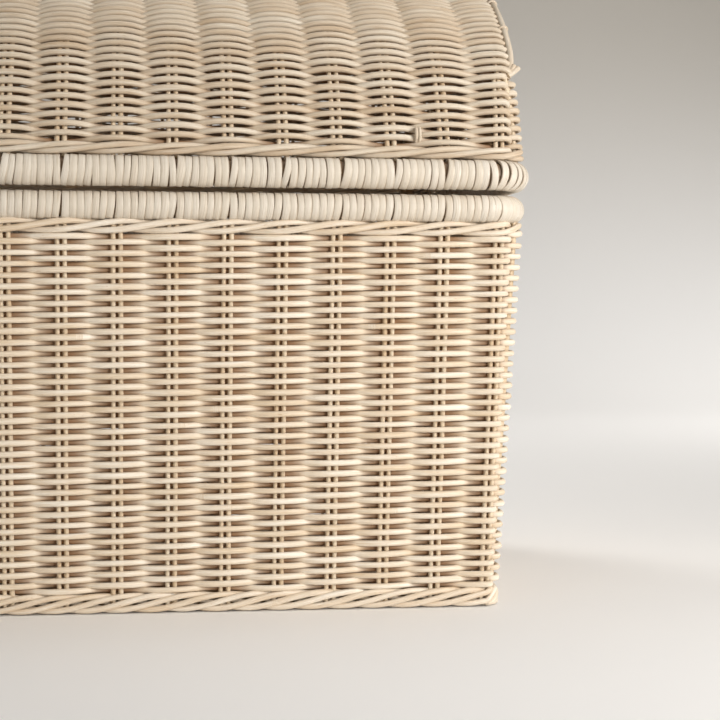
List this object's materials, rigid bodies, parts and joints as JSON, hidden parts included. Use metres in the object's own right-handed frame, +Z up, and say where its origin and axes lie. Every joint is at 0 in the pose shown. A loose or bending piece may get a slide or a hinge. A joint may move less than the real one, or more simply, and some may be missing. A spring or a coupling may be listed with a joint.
{
  "type": "wicker storage trunk",
  "caption": "Woven cane storage trunk with tapered walls, cane-wrapped rims and a barrel-top lid that swings up on ring hinges.",
  "frame": {"origin": "middle of the footprint, on the floor", "axes": "+Z up, front of the trunk faces -Y, width runs along X"},
  "size_m": [0.584, 0.4068, 0.4416],
  "materials": {
    "weave": "raw peeled cane, matt",
    "stake": "raw peeled cane, matt",
    "wrap": "flat cane strip, satin",
    "pole": "rattan pole, satin",
    "nail": "plain steel"
  },
  "bodies": {
    "base": {"bottom_frame": "pole", "floor_bars": "pole", "floor_weave": "weave", "frame_nails": "nail", "corner_post_front_left": "pole", "corner_post_front_right": "pole", "corner_post_back_left": "pole", "corner_post_back_right": "pole", "bottom_border": "weave", "base_front_weave": "weave", "base_back_weave": "weave", "base_left_weave": "weave", "base_right_weave": "weave", "base_front_stakes": "stake", "base_back_stakes": "stake", "base_left_stakes": "stake", "base_right_stakes": "stake", "base_upper_wale": "weave", "base_rim_pole": "pole", "base_rim_wrap": "wrap", "hinge_ring_left": "wrap", "hinge_ring_right": "wrap"},
    "lid": {"lid_rim_pole": "pole", "lid_rim_wrap": "wrap", "lid_lower_wale": "weave", "lid_front_weave": "weave", "lid_top_weave": "weave", "lid_back_weave": "weave", "lid_left_end_weave": "weave", "lid_right_end_weave": "weave", "lid_arch_stakes": "stake", "lid_left_end_stakes": "stake", "lid_right_end_stakes": "stake", "lid_left_arch_pole": "pole", "lid_right_arch_pole": "pole", "lid_left_edge_strand": "weave", "lid_right_edge_strand": "weave"}
  },
  "joints": [
    {"name": "lid_hinge", "type": "hinge", "parent": "base", "child": "lid", "pos_m": [0, 0.192, 0.288], "axis": [-1, 0, 0], "range_deg": [0, 115]}
  ]
}
